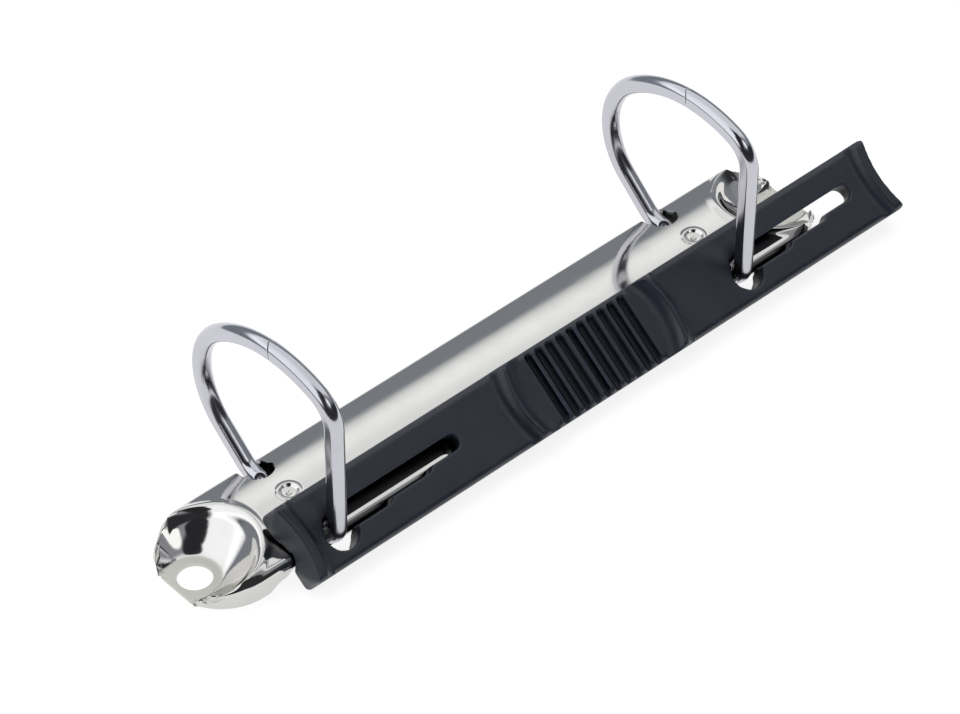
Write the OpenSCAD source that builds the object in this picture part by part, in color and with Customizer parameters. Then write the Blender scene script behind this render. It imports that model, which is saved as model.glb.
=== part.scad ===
// Two-ring D binder mechanism with a plastic hold-down bar.
// Millimetres. X runs along the mechanism, +Z is up off the board it is riveted to.
// Origin: middle of the cover, on the underside of the two rivet tabs.
// The straight halves of the rings and the hold-down bar are on the -Y side.

/* [Rings] */
// Distance between the two rings, centre to centre
ring_pitch = 80; // [60:1:160]
// Diameter of the ring wire
wire_d = 2.8; // [2:0.1:4]
// Width of the wire across its two flattened sides
wire_w = 2.4; // [1.8:0.1:4]
// Distance of the straight legs from the centre line
leg_y = 10.5; // [9.5:0.1:16]
// Bend radius of the shoulder above the straight leg
shoulder_r = 5; // [3:0.5:9]
// Radius of the shallow arch over the top
arch_r = 22; // [15:0.5:40]
// Height of the centre of the shallow arch
arch_z = 9.6; // [4:0.1:20]
// Sideways place of the centre of the shallow arch
arch_y = 0.3; // [-2:0.1:3]
// Radius of the bulging side
side_r = 12; // [8:0.5:18]
// Direction in which the bulging side meets the arch, from the +Y axis
side_a = 51.5; // [40:0.5:65]
// Slope of the lower run of the curved half
run_a = 41; // [25:1:60]
// Sideways place of the split between the two halves
split_y = 2.4; // [0:0.1:5]
// Length of the V-shaped nose at the split
nose = 1.1; // [0.5:0.1:1.6]
// Gap left at the split when the rings are shut
split_gap = 0.14; // [0.05:0.01:0.4]
// Distance of the riveted feet from the centre line
foot_y = 6.4; // [5.5:0.1:7]
// Height of the wire's centre at the feet
foot_z = 3.35; // [3:0.05:4.5]
// Bend radius of the straight half's foot
foot_bend = 3.6; // [2.5:0.1:4.5]
// Bend radius of the curved half's foot
foot_sweep = 4.5; // [3:0.1:6]

/* [Cover] */
// Sheet thickness
sheet = 0.6; // [0.4:0.05:1]
// Height of the crown above the board
crown_z = 5.8; // [5:0.1:8]
// Distance of the rolled edge's centre from the centre line
roll_y = 8.02; // [7:0.01:10]
// Height of the rolled edge's centre
roll_z = 3.04; // [2.6:0.01:4]
// Outside radius of the rolled edge
roll_r = 1.6; // [1.2:0.05:2.2]
// Distance from the middle to the centre of each rounded end
dome_x = 52.3; // [48:0.1:60]
// Radius of the skirt at the board
skirt_r = 9.15; // [8.5:0.05:9.6]
// Distance from the middle to the straight edge of each rivet tab
end_x = 60.9; // [59:0.1:66]
// Distance between the two rivet holes
rivet_pitch = 115; // [110:0.5:122]
// Radius of the rivet holes
rivet_r = 2.6; // [1.8:0.1:3]
// Radius of the flat land round a rivet hole
land_r = 3.75; // [3.2:0.05:4.5]
// Width of the rivet tab at its straight edge
tab_w = 8.2; // [6:0.1:10]
// Radius of the scoop where it reaches the crown
scoop_r = 10; // [8:0.1:12]
// Width of the notches that the rings pass through
notch_w = 5; // [4:0.1:7]
// Distance of the notches' round ends from the centre line
notch_y = 4.4; // [3.5:0.1:5.4]
// Diameter of the two stop dimples
dimple_d = 4.2; // [3:0.1:5]
// Depth of the two stop dimples
dimple_h = 0.75; // [0.3:0.05:1]

/* [Hinge blades] */
// Blade thickness
blade_t = 1.0; // [0.8:0.05:1.4]
// Half length of the blades
blade_x = 47.4; // [40:0.1:50]
// Slope of a blade when the rings are shut, falling towards the middle
shut_a = 7; // [4:0.5:10]
// Distance of the pivot edge from the centre line
pivot_y = 8.1; // [7:0.05:9]
// Height of the pivot edge
pivot_z = 2.7; // [2:0.05:3.5]
// Width of a blade from pivot edge to inner edge
blade_w = 7.9; // [6:0.05:8.1]
// Radius of the riveted shanks of the ring feet
shank_r = 0.9; // [0.6:0.05:1.2]

/* [Hold-down bar] */
// Length
bar_l = 117.9; // [110:0.1:130]
// Width
bar_w = 12.3; // [10:0.1:16]
// Depth of the side walls below the top plate's face
bar_h = 3.9; // [3:0.1:6]
// Thickness of the top plate
plate_t = 1.6; // [1.2:0.1:2.2]
// Thickness of the side walls
wall_t = 1.2; // [0.8:0.1:1.8]
// Rounding of the two long top edges
edge_r = 0.9; // [0.3:0.1:1.4]
// Lean of the bar about its length, outer edge low
lean = 36; // [0:1:45]
// Middle of the bar, along the mechanism
bar_x = 11.35; // [0:0.05:20]
// Middle of the bar, sideways
bar_y = -9.87; // [-16:0.01:-6]
// Height of the middle of the bar's top face
bar_z = 6.91; // [3:0.01:12]
// Radius of the round part of a keyhole
key_r = 2.7; // [2:0.05:3.5]
// Distance of the keyholes' round part outwards from the bar's middle line
key_out = 1.62; // [0:0.01:3]
// Distance of a keyhole's straight inner edge from the centre of its round part
slot_in = 3.5; // [3:0.05:4]
// Width of a keyhole at its narrow end
slot_w = 2.5; // [2.2:0.05:3.4]
// Width that the keyhole gains at each of the two steps of its outer edge
slot_step = 0.7; // [0.2:0.05:1]
// Length of a keyhole beyond the centre of its round part
slot_l = 23.4; // [15:0.1:28]
// Radius of the round dish in the middle
dish_r = 15.1; // [10:0.1:20]
// Height of the dish's crest and of the end rims
crest_h = 1.25; // [0.6:0.05:2]
// Number of grip grooves
grooves = 10; // [4:1:16]
// Spacing of the grip grooves
groove_pitch = 2.05; // [1.5:0.05:3]

/* [Hidden] */
$fn = 96;
nickel = "#c9cbd0";
zinc = "#a7abb0";
plastic = "#1b1d23";
wire_r = wire_d / 2;
ring_x = ring_pitch / 2;
rivet_x = rivet_pitch / 2;

// crown arc: tangent inside to the two rolled edges
crown_drop = crown_z - roll_r;
crown_c = (roll_y * roll_y + roll_z * roll_z - crown_drop * crown_drop) / (2 * (roll_z - crown_drop));
crown_r = crown_z - crown_c;
// scoop: slope of the cone, and how far its sheet's lower face is from its upper one
scoop_slope = (crown_z - sheet) / (scoop_r - land_r);
scoop_below = sheet * sqrt(1 + scoop_slope * scoop_slope) / scoop_slope;

// shoulder arc: tangent to the straight leg and inside to the arch
shoulder_y = -leg_y + shoulder_r;
shoulder_z = arch_z + sqrt(pow(arch_r - shoulder_r, 2) - pow(shoulder_y - arch_y, 2));
shoulder_a = atan2(shoulder_z - arch_z, shoulder_y - arch_y);
// side arc: inside tangent to the arch
side_y = arch_y + (arch_r - side_r) * cos(side_a);
side_z = arch_z + (arch_r - side_r) * sin(side_a);
split_a = acos((split_y - arch_y) / arch_r);
// straight run below the side arc, and the sweep that levels it at the foot
run_y = side_y + side_r * sin(run_a);
run_z = side_z - side_r * cos(run_a);
level_z = foot_z + foot_sweep * (1 - cos(run_a));
level_y = run_y - (run_z - level_z) / tan(run_a);
run_l = (run_z - level_z) / sin(run_a);
sweep_y = level_y - foot_sweep * sin(run_a);

key_x = [-ring_x + 0.3, ring_x + 0.3];
dish_x = 9.9;
skirt_l = 3.7;
skirt_cut = 3;
wedge_l = 20;
wedge_d = 8;
seam = 0.03;
mark_l = 0.3;
mark_h = 0.01;
groove_r = 0.6;
collar_h = 3.8;
seat_gap = 0.3;
leg_gap = 0.25;
rim_r = 17.7;
e = 0.01;

/* ---------- helpers ---------- */

// draws a (y, z) outline and pushes it along X, from x0 for l
module along_x(x0, l) {
    translate([x0, 0, 0]) rotate([90, 0, 90]) linear_extrude(l) children();
}

// wire section: a round wire rolled flat on its two sides, grown by g
module wire_section(g = 0) {
    intersection() {
        circle(r = wire_r + g);
        square([wire_d + 1, wire_w + 2 * g], center = true);
    }
}

// bend in the plane x = 0: centre (cy, cz), radius r, from angle a0 for da
module bend(cy, cz, r, a0, da) {
    trim = seam / r * 180 / PI;
    translate([0, cy, cz]) rotate([90, 0, 90]) rotate([0, 0, a0 + trim])
        rotate_extrude(angle = da - 2 * trim) translate([r, 0]) wire_section();
}

// straight run in the plane x = 0: from (y, z) in direction a for l
module run(y, z, a, l) {
    translate([0, y, z]) rotate([a, 0, 0]) rotate([-90, 0, 0])
        translate([0, 0, seam]) linear_extrude(l - 2 * seam) rotate([0, 0, 90]) wire_section();
}

// drawing mark where two stretches of wire meet, at (y, z) with the wire in direction a
module mark(y, z, a) {
    translate([0, y, z]) rotate([a, 0, 0]) rotate([-90, 0, 0])
        linear_extrude(mark_l, center = true) rotate([0, 0, 90]) wire_section(mark_h);
}

// rounded tip of the wire, facing -Y
module tip(y, z) {
    translate([0, y - seam, z]) rotate([90, 0, 90]) rotate([0, 0, 90]) rotate_extrude(angle = 180)
        intersection() { wire_section(); translate([0, -5]) square([10, 10]); }
    mark(y, z, 0);
}

// rest frame of one blade: origin on its pivot edge, -Y towards the middle
module blade_frame(side) {
    mirror([0, side < 0 ? 1 : 0, 0])
        translate([0, pivot_y, pivot_z]) rotate([shut_a, 0, 0]) children();
}

// V-shaped wedge at the split: apex towards the curved half, pulled back by gap
module wedge(gap) {
    a = split_a;
    translate([0, arch_y + arch_r * cos(a), arch_z + arch_r * sin(a)]) rotate([a - 90, 0, 0])
        translate([0, -gap, -wedge_d]) linear_extrude(wedge_d + 3)
            polygon([[0, nose / 2], [wire_w, nose / 2 - 2 * nose], [wire_w, -wedge_l], [-wire_w, -wedge_l], [-wire_w, nose / 2 - 2 * nose]]);
}

/* ---------- cover ---------- */

// half section in (radius, z), grown inwards by t; foot: lowest point
module arch_half(t, foot) {
    intersection() {
        translate([0, crown_c]) circle(r = crown_r - t, $fn = 400);
        translate([0, roll_z]) square([roll_y, 10]);
    }
    translate([roll_y, roll_z]) circle(r = roll_r - t);
    polygon([[0, foot], [skirt_r - t, foot], [roll_y + roll_r - t, roll_z], [0, roll_z + e]]);
}

// both halves of the channel's section above the rolled edges, with open middle
module channel(t) {
    for (m = [0, 1]) mirror([m, 0]) {
        intersection() {
            translate([0, crown_c]) circle(r = crown_r - t, $fn = 400);
            translate([-e, roll_z]) square([roll_y + e, 10]);
        }
        translate([roll_y, roll_z]) circle(r = roll_r - t);
        translate([-e, t > 0 ? -5 : roll_z - roll_r]) square([roll_y - (t > 0 ? 0.25 : 0) + e, (t > 0 ? roll_z + 5 : roll_r) + e]);
    }
}

// one rounded end, solid, grown inwards by t: a half turn of the section, and a short straight skirt
module dome(t) {
    translate([dome_x, 0, 0]) rotate([0, 0, -90]) rotate_extrude(angle = 180, $fn = 160) arch_half(t, t > 0 ? -1 : 0);
    along_x(dome_x - skirt_l, skirt_l) {
        arch_half(t, t > 0 ? -1 : 0);
        mirror([1, 0]) arch_half(t, t > 0 ? -1 : 0);
    }
}

// the pressed hollow over one rivet tab; drop: 0 for the upper face
module scoop(drop) {
    z0 = drop > 0 ? -2 : sheet;
    r0 = land_r + (z0 - sheet) / scoop_slope + (drop > 0 ? scoop_below : 0);
    translate([rivet_x, 0, z0]) cylinder(h = 9, r1 = max(r0, 0.5), r2 = r0 + 9 / scoop_slope, $fn = 160);
    translate([rivet_x, -tab_w / 2 - (drop > 0 ? sheet : 0), z0]) cube([12, tab_w + (drop > 0 ? 2 * sheet : 0), 9]);
    if (drop > 0) translate([rivet_x, 0, -2]) cylinder(h = 2 + sheet, r = land_r + 0.2);
}

module notch() {
    translate([0, notch_y + notch_w / 2, roll_z - 1.05]) linear_extrude(10) {
        circle(d = notch_w);
        translate([-notch_w / 2, 0]) square([notch_w, 6]);
    }
}

module cover() color(nickel) {
    ball_r = (pow(dimple_d / 2, 2) + dimple_h * dimple_h) / (2 * dimple_h);
    difference() {
        union() {
            difference() {
                union() {
                    along_x(-dome_x + skirt_l, 2 * (dome_x - skirt_l)) channel(0);
                    for (m = [0, 1]) mirror([m, 0, 0]) dome(0);
                }
                difference() {
                    union() {
                        along_x(-dome_x + skirt_l, 2 * (dome_x - skirt_l)) channel(sheet);
                        for (m = [0, 1]) mirror([m, 0, 0]) dome(sheet);
                    }
                    for (m = [0, 1]) mirror([m, 0, 0]) scoop(1);
                }
            }
            // the dimples' sheet, thinned a little by the press
            for (x = [-ring_x, ring_x]) translate([x, 0, crown_z - dimple_h + ball_r]) intersection() {
                sphere(r = ball_r + sheet * 0.75);
                translate([0, 0, -ball_r + dimple_h - sheet / 2 - 1]) cylinder(h = 2, r = dimple_d / 2 + 0.3, center = true);
            }
        }
        for (m = [0, 1]) mirror([m, 0, 0]) {
            scoop(0);
            // the skirt rises to the rolled edge in a hollow curve
            translate([dome_x - skirt_l, 0, roll_z - roll_r - skirt_cut]) rotate([90, 0, 0]) cylinder(h = 40, r = skirt_cut, center = true, $fn = 64);
            translate([end_x, -20, -5]) cube([20, 40, 20]);
            translate([rivet_x, 0, -2]) cylinder(h = 5, r = rivet_r);
        }
        for (x = [-ring_x, ring_x]) {
            translate([x, 0, crown_z - dimple_h + ball_r]) sphere(r = ball_r);
            for (m = [0, 1]) mirror([0, m, 0]) translate([x, 0, 0]) notch();
        }
    }
}

/* ---------- hinge blades ---------- */

module blade(side) {
    blade_frame(side) difference() {
        union() {
            translate([-blade_x, 0, 0]) rotate([0, 90, 0]) cylinder(h = 2 * blade_x, d = blade_t);
            translate([-blade_x, -blade_w, -blade_t / 2]) cube([2 * blade_x, blade_w, blade_t]);
        }
        for (x = [-ring_x, ring_x])
            translate([x, -(pivot_y - foot_y), -blade_t]) cylinder(h = 2 * blade_t, r = shank_r + 0.02);
    }
}

module curved_side_blade() color(zinc) blade(1);
module straight_side_blade() color(zinc) blade(-1);

/* ---------- rings ---------- */

// coined foot: flattened on the blade, with its shank and rivet head
module seated(side) {
    difference() {
        children();
        blade_frame(side) translate([-5, -12, -20 + blade_t / 2 + 0.02]) cube([10, 16, 20]);
    }
    blade_frame(side) translate([0, -(pivot_y - foot_y), 0]) {
        translate([0, 0, -blade_t / 2 - 0.1]) cylinder(h = blade_t + 0.6, r = shank_r);
        translate([0, 0, -blade_t / 2 - 0.47]) cylinder(h = 0.45, r1 = shank_r + 0.25, r2 = shank_r + 0.55);
    }
}

module curved_half() {
    seated(1) union() {
        difference() {
            bend(arch_y, arch_z, arch_r, side_a, split_a - side_a + 12);
            wedge(-split_gap / 2);
        }
        mark(arch_y + arch_r * cos(side_a), arch_z + arch_r * sin(side_a), side_a - 90);
        bend(side_y, side_z, side_r, run_a - 90, side_a - run_a + 90);
        mark(run_y, run_z, run_a);
        run(level_y, level_z, run_a, run_l);
        mark(level_y, level_z, run_a);
        bend(sweep_y, foot_z + foot_sweep, foot_sweep, -90, run_a);
        mark(sweep_y, foot_z, 0);
        run(foot_y, foot_z, 0, sweep_y - foot_y);
        tip(foot_y, foot_z);
    }
}

module straight_half() {
    seated(-1) union() {
        intersection() {
            bend(arch_y, arch_z, arch_r, split_a - 12, shoulder_a - split_a + 12);
            wedge(split_gap / 2);
        }
        mark(arch_y + arch_r * cos(shoulder_a), arch_z + arch_r * sin(shoulder_a), shoulder_a - 90);
        bend(shoulder_y, shoulder_z, shoulder_r, shoulder_a, 180 - shoulder_a);
        mark(-leg_y, shoulder_z, 90);
        run(-leg_y, foot_z + foot_bend, 90, shoulder_z - foot_z - foot_bend);
        mark(-leg_y, foot_z + foot_bend, 90);
        bend(-leg_y + foot_bend, foot_z + foot_bend, foot_bend, 180, 90);
        mark(-leg_y + foot_bend, foot_z, 0);
        run(-leg_y + foot_bend, foot_z, 0, leg_y - foot_bend - foot_y);
        mirror([0, 1, 0]) tip(foot_y, foot_z);
    }
}

module curved_ring_half_left() color(nickel) translate([-ring_x, 0, 0]) curved_half();
module curved_ring_half_right() color(nickel) translate([ring_x, 0, 0]) curved_half();
module straight_ring_half_left() color(nickel) translate([-ring_x, 0, 0]) straight_half();
module straight_ring_half_right() color(nickel) translate([ring_x, 0, 0]) straight_half();

/* ---------- hold-down bar ---------- */

// rounded rectangle about the origin
module soft_rect(l, w, r) {
    square([l - 2 * r, w], center = true);
    square([l, w - 2 * r], center = true);
    for (x = [-1, 1], y = [-1, 1]) translate([x * (l / 2 - r), y * (w / 2 - r)]) circle(r = r);
}

// keyhole outline, origin in its round part; g grows it
module keyhole(g) {
    low = slot_in - slot_w;
    far = slot_l - 1.1;
    circle(r = key_r + g);
    for (y = [slot_in - 1.1, low + 1.1]) translate([far, y]) circle(r = 1.1 + g);
    polygon([[1 - g, slot_in + g], [far, slot_in + g], [slot_l + g, slot_in - 1.1], [slot_l + g, low + 1.1], [far, low - g],
        [17.7 + g, low - g], [16.9 + g, low - slot_step - g], [9.8 + g, low - slot_step - g], [9 + g, low - 2 * slot_step - g],
        [2.4, low - 2 * slot_step - g], [0, -0.6], [-0.9 - g, 2.2 + g]]);
}

// outside section of the bar: tall enough for the crests
module bar_section(top) {
    w = bar_w / 2;
    for (m = [0, 1]) mirror([m, 0]) {
        translate([0, -bar_h]) square([w, bar_h + top - edge_r]);
        translate([0, -bar_h]) square([w - edge_r, bar_h + top]);
        translate([w - edge_r, top - edge_r]) circle(r = edge_r);
    }
}

// crest round the dish, as a (radius, z) outline
module dish_outline() {
    difference() {
        translate([dish_r - 2.7, -1]) square([4.9, 1 + crest_h]);
        translate([dish_r - 2.7, 3.2]) scale([1, 1]) circle(r = 3.2);
        translate([dish_r + 2.5, 2.35]) circle(r = 2.35);
    }
}

// raised rim along one concave end, as a (radius, z) outline
module rim_outline() {
    difference() {
        translate([rim_r - 2, -1]) square([5.2, 1 + crest_h]);
        translate([rim_r + 3.4, 2.1]) circle(r = 2.1);
    }
}

module end_cut(x) {
    // hollow end face: a cone that leaves the lower edge straight
    translate([x, 0, -bar_h]) cylinder(h = bar_h + 3, r1 = rim_r - 1.3, r2 = rim_r - 1.3 + 1.3 * (bar_h + 3) / (bar_h + crest_h), $fn = 200);
}

module hold_down_bar() color(plastic)
    translate([bar_x, bar_y, bar_z]) rotate([lean, 0, 0]) difference() {
        rim_c = bar_l / 2 + rim_r - 1.3;
        intersection() {
            along_x(-bar_l / 2, bar_l) bar_section(crest_h);
            translate([0, 0, -10]) linear_extrude(20) soft_rect(bar_l, bar_w, 0.9);
            union() {
                along_x(-bar_l / 2, bar_l) bar_section(0);
                translate([dish_x - bar_x, 0, 0]) rotate_extrude($fn = 200) dish_outline();
                for (s = [-1, 1]) translate([s * rim_c, 0, 0]) rotate_extrude($fn = 240) rim_outline();
            }
        }
        for (s = [-1, 1]) end_cut(s * rim_c);
        // room for the cover's rolled edge and crown, under the leaning bar
        rotate([-lean, 0, 0]) translate([-bar_l, -bar_y, -bar_z]) along_x(0, 2 * bar_l) channel(-seat_gap);
        // room for the upright legs inside the outer wall, over the whole lift, and for the feet
        for (x = [-ring_x, ring_x]) rotate([-lean, 0, 0]) translate([x - bar_x, -leg_y - bar_y, -20]) {
            linear_extrude(40) square([wire_w + 2 * leg_gap, wire_d + 2 * leg_gap], center = true);
            translate([-wire_w / 2 - leg_gap, 0, 0]) cube([wire_w + 2 * leg_gap, 7, 20 + foot_z + wire_r + leg_gap - bar_z]);
        }
        // open underside, with collars left round the keyholes and cross ribs
        difference() {
            translate([0, 0, -bar_h - 1]) linear_extrude(bar_h + 1 - plate_t)
                soft_rect(bar_l - 2 * wall_t - 1.4, bar_w - 2 * wall_t, 0.8);
            for (x = key_x) translate([x - bar_x, -key_out, -collar_h]) linear_extrude(collar_h) keyhole(1);
            for (x = [-8, 8]) translate([dish_x - bar_x + x - 0.5, -bar_w / 2, -bar_h + 0.9]) cube([1, bar_w, bar_h]);
        }
        for (x = key_x) translate([x - bar_x, -key_out, -bar_h - 2]) linear_extrude(bar_h + 6) keyhole(0);
        for (i = [0 : grooves - 1]) translate([dish_x - bar_x + (i - (grooves - 1) / 2) * groove_pitch, 0, -0.22]) {
            translate([0, bar_w / 2 - 1.2, 0]) rotate([90, 0, 0]) cylinder(h = bar_w, r = groove_r, $fn = 32);
            translate([0, bar_w / 2 - 1.2, 0]) sphere(r = groove_r, $fn = 32);
        }
    }

/* ---------- output ---------- */

cover();
curved_side_blade();
straight_side_blade();
curved_ring_half_left();
curved_ring_half_right();
straight_ring_half_left();
straight_ring_half_right();
hold_down_bar();
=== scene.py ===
"""Two-ring D binder mechanism with a hold-down bar: surfaces, finishes, light and camera.

All sizes in the functions are millimetres in the part's own frame: X along the mechanism, +Z up,
the straight legs and the bar on the -Y side. Meshes are written in metres.
"""

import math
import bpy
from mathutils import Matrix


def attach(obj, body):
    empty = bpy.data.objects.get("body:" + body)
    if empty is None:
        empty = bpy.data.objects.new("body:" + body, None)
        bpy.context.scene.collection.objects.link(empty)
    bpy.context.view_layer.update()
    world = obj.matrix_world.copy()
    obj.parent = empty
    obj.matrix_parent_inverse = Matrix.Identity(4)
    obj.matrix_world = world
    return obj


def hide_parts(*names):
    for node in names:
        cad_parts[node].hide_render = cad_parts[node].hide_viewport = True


bl_info = {
    "name": "Two-ring binder mechanism",
    "version": (1, 0, 0),
    "blender": (4, 5, 0),
    "location": "View3D > Sidebar > Ring binder",
    "description": "Dresses a two-ring binder mechanism in nickel plate and moulded plastic",
    "category": "Object",
}

import bmesh
import bpy
import numpy as np
from bpy.props import FloatProperty, FloatVectorProperty, PointerProperty
from mathutils import Matrix, Vector

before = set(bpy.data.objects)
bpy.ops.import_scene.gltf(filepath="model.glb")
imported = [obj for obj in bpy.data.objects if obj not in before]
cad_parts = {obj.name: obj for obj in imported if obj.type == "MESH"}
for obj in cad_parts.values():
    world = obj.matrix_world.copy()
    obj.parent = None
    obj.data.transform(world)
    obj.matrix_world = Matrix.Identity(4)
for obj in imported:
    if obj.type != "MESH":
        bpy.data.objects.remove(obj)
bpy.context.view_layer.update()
MM = 0.001

# sizes shared with the solids, in millimetres and degrees
# rings: place, rolled wire, middle (y, z) and radius of the arch, curved side, straight legs, split, feet
RING_X = 40.0
WIRE_R, WIRE_HALF = 1.4, 1.2
ARCH = (0.3, 9.6, 22.0)
SIDE_R, SIDE_A, RUN_A = 12.0, 51.5, 41.0
LEG_Y, SHOULDER_R = 10.5, 5.0
SPLIT_Y, SPLIT_GAP, NOSE = 2.4, 0.14, 1.1
FOOT_Y, FOOT_Z, FOOT_BEND, FOOT_SWEEP = 6.4, 3.35, 3.6, 4.5

# cover: crown and rolled edge, with the crown's arc worked out so that it meets the roll's circle
CROWN_Z, ROLL_Y, ROLL_Z, ROLL_R = 5.8, 8.02, 3.04, 1.6
CROWN_C = (ROLL_Y ** 2 + ROLL_Z ** 2 - (CROWN_Z - ROLL_R) ** 2) / (2 * (ROLL_Z - CROWN_Z + ROLL_R))
CROWN_R = CROWN_Z - CROWN_C
# cover: rounded ends, rivet tabs, notches, where the ends' rays join the channel, and the grid's side
DOME_X, END_X, SKIRT_R, SHEET = 52.3, 60.9, 9.15, 0.6
RIVET_X, RIVET_R, LAND_R, TAB_HALF, SCOOP_R = 57.5, 2.6, 3.75, 4.1, 10.0
NOTCH_HALF, NOTCH_Y = 2.5, 4.4
PATCH_X, FLANK = 44.0, 8.9

BAR_ORIGIN, BAR_LEAN = (11.35, -9.87, 6.91), 36.0

# sizes of the finer forms, in millimetres and degrees
# wire: length over which the nose fades out, and the fuller section of the straight halves
NOSE_FADE, STRAIGHT_FULLER = 3.0, 1.012
# foot: the way its coined flat faces on the +Y side, the flat's reach, and its centre mark
FLAT_FACING, FLAT_REACH, MARK_DEPTH, MARK_R = (-0.45, -0.50, 0.74), 1.9, 0.16, 0.28
# rolled edge: its turn below its middle, and rows of it that a notch cuts, 41 degrees round
ROLL_TURN, NOTCH_WAYS = 100.0, 4
# skirt: where it takes over from the roll, and the hollow curve by which its foot rises to it
BLEND_X, BLEND_W, HOLLOW_X, HOLLOW_R = 45.0, 3.6, 48.6, 3.0
# notch: where and how much it narrows towards the rolled edge
NARROW_Y, NARROW_W, NARROW_BY = 5.5, 3.0, 0.9
# scoop: rise beside the tab, lip along the rim, and the height over which it has one
TAB_RISE, LIP_H, LIP_W, LIP_FROM_Z = 2.5, 0.4, 1.5, 3.5
# stop dimple: slope at each radius, for its pit, floor, wall and lip
DIMPLE_RADII = (0, 0.25, 0.4, 0.55, 1.0, 1.15, 1.42, 1.58, 1.85, 2.25)
DIMPLE_SLOPE = (0, 0.75, 0.6, 0.1, 0.1, 1.0, 1.0, 0, -0.45, 0)

# inputs and output of a Mix node that mixes colours
MIX_A, MIX_B, MIX_OUT = 6, 7, 2


# ---------- colour and node helpers ----------

def linear(code):
    """sRGB hex colour as linear RGBA: c/12.92 up to 0.04045, ((c + 0.055)/1.055)^2.4 above."""
    code = code.lstrip("#")
    c = np.array([int(code[i:i + 2], 16) for i in (0, 2, 4)]) / 255.0
    c = np.where(c <= 0.04045, c / 12.92, ((c + 0.055) / 1.055) ** 2.4)
    return (*c.tolist(), 1.0)


def add(tree, kind, settings=None, links=None):
    """Adds one node: settings by property name or input socket, links as {input: (node, output)}."""
    node = tree.nodes.new(kind)
    for key, value in (settings or {}).items():
        if isinstance(key, str) and hasattr(node, key) and key not in node.inputs:
            setattr(node, key, value)
        else:
            node.inputs[key].default_value = value
    for key, (source, output) in (links or {}).items():
        tree.links.new(source.outputs[output], node.inputs[key])
    return node


def new_material(name):
    """A material with an empty node tree and its output node."""
    mat = bpy.data.materials.new(name)
    mat.use_nodes = True
    mat.node_tree.nodes.clear()
    return mat, mat.node_tree, add(mat.node_tree, "ShaderNodeOutputMaterial")


def scaled(colour, k):
    """The same colour, k times as bright."""
    return (colour[0] * k, colour[1] * k, colour[2] * k, 1.0)


def dress(name, mat):
    """Gives a CAD node one material in every slot."""
    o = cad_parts[name]
    if not o.material_slots:
        o.data.materials.append(mat)
    for s in o.material_slots:
        s.material = mat


# ---------- mesh helpers ----------

def grid_faces(rows, cols, wrap=False, base=0):
    """Quads of a rows x cols grid of points, closed round the columns where wrap is set."""
    i, j = np.meshgrid(np.arange(rows - 1), np.arange(cols if wrap else cols - 1), indexing="ij")
    k = (j + 1) % cols
    q = np.stack([i * cols + j, i * cols + k, (i + 1) * cols + k, (i + 1) * cols + j], -1)
    return (q.reshape(-1, 4) + base).tolist()


def mesh_of(name, verts, faces, merge=0.001):
    """A mesh in metres from points in millimetres, with points closer than merge millimetres made one."""
    me = bpy.data.meshes.new(name)
    me.from_pydata((np.asarray(verts, float) * MM).tolist(), [], faces)
    bm = bmesh.new()
    bm.from_mesh(me)
    bmesh.ops.remove_doubles(bm, verts=bm.verts, dist=merge * MM)
    bmesh.ops.dissolve_degenerate(bm, edges=bm.edges, dist=merge * MM * 0.1)
    bmesh.ops.recalc_face_normals(bm, faces=bm.faces)
    bm.to_mesh(me)
    bm.free()
    return me


def place(name, me, mat, body, node, sharp=None):
    """One finished piece: smooth, with edges sharper than sharp degrees kept, riding on a body in place of
    a CAD node."""
    me.polygons.foreach_set("use_smooth", [True] * len(me.polygons))
    if sharp:
        me.set_sharp_from_angle(angle=math.radians(sharp))
    me.materials.clear()
    me.materials.append(mat)
    o = bpy.data.objects.new(name, me)
    bpy.context.collection.objects.link(o)
    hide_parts(node)
    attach(o, body)
    return o


def finished(me, modifiers, room=None):
    """The mesh with modifiers applied, given as (type, {setting: value}) in order. room gives each vertex
    a weight in the group of that name, in steps of a twentieth."""
    levels = 20
    o = bpy.data.objects.new("work", me)
    bpy.context.collection.objects.link(o)
    if room is not None:
        group = o.vertex_groups.new(name="room")
        steps = np.rint(room * levels).astype(int)
        for k in np.unique(steps):
            group.add(np.flatnonzero(steps == k).tolist(), int(k) / levels, "REPLACE")
    for kind, settings in modifiers:
        m = o.modifiers.new(kind.lower(), kind)
        for key, value in settings.items():
            setattr(m, key, value)
    graph = bpy.context.evaluated_depsgraph_get()
    out = bpy.data.meshes.new_from_object(o.evaluated_get(graph))
    bpy.data.objects.remove(o)
    return out


# ---------- ring wire ----------

def arc(cy, cz, r, a0, a1, step=0.16):
    """Points on a circle in the (y, z) plane: centre + r (cos a, sin a), a from a0 to a1 degrees."""
    n = max(4, int(abs(math.radians(a1 - a0)) * r / step))
    a = np.radians(np.linspace(a0, a1, n + 1))
    return np.stack([cy + r * np.cos(a), cz + r * np.sin(a)], -1)


def line(p, q, step=0.35):
    """Points on the straight from p to q: (1 - t) p + t q."""
    n = max(2, int(np.hypot(q[0] - p[0], q[1] - p[1]) / step))
    t = np.linspace(0, 1, n + 1)[:, None]
    return np.array(p) * (1 - t) + np.array(q) * t


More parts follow.
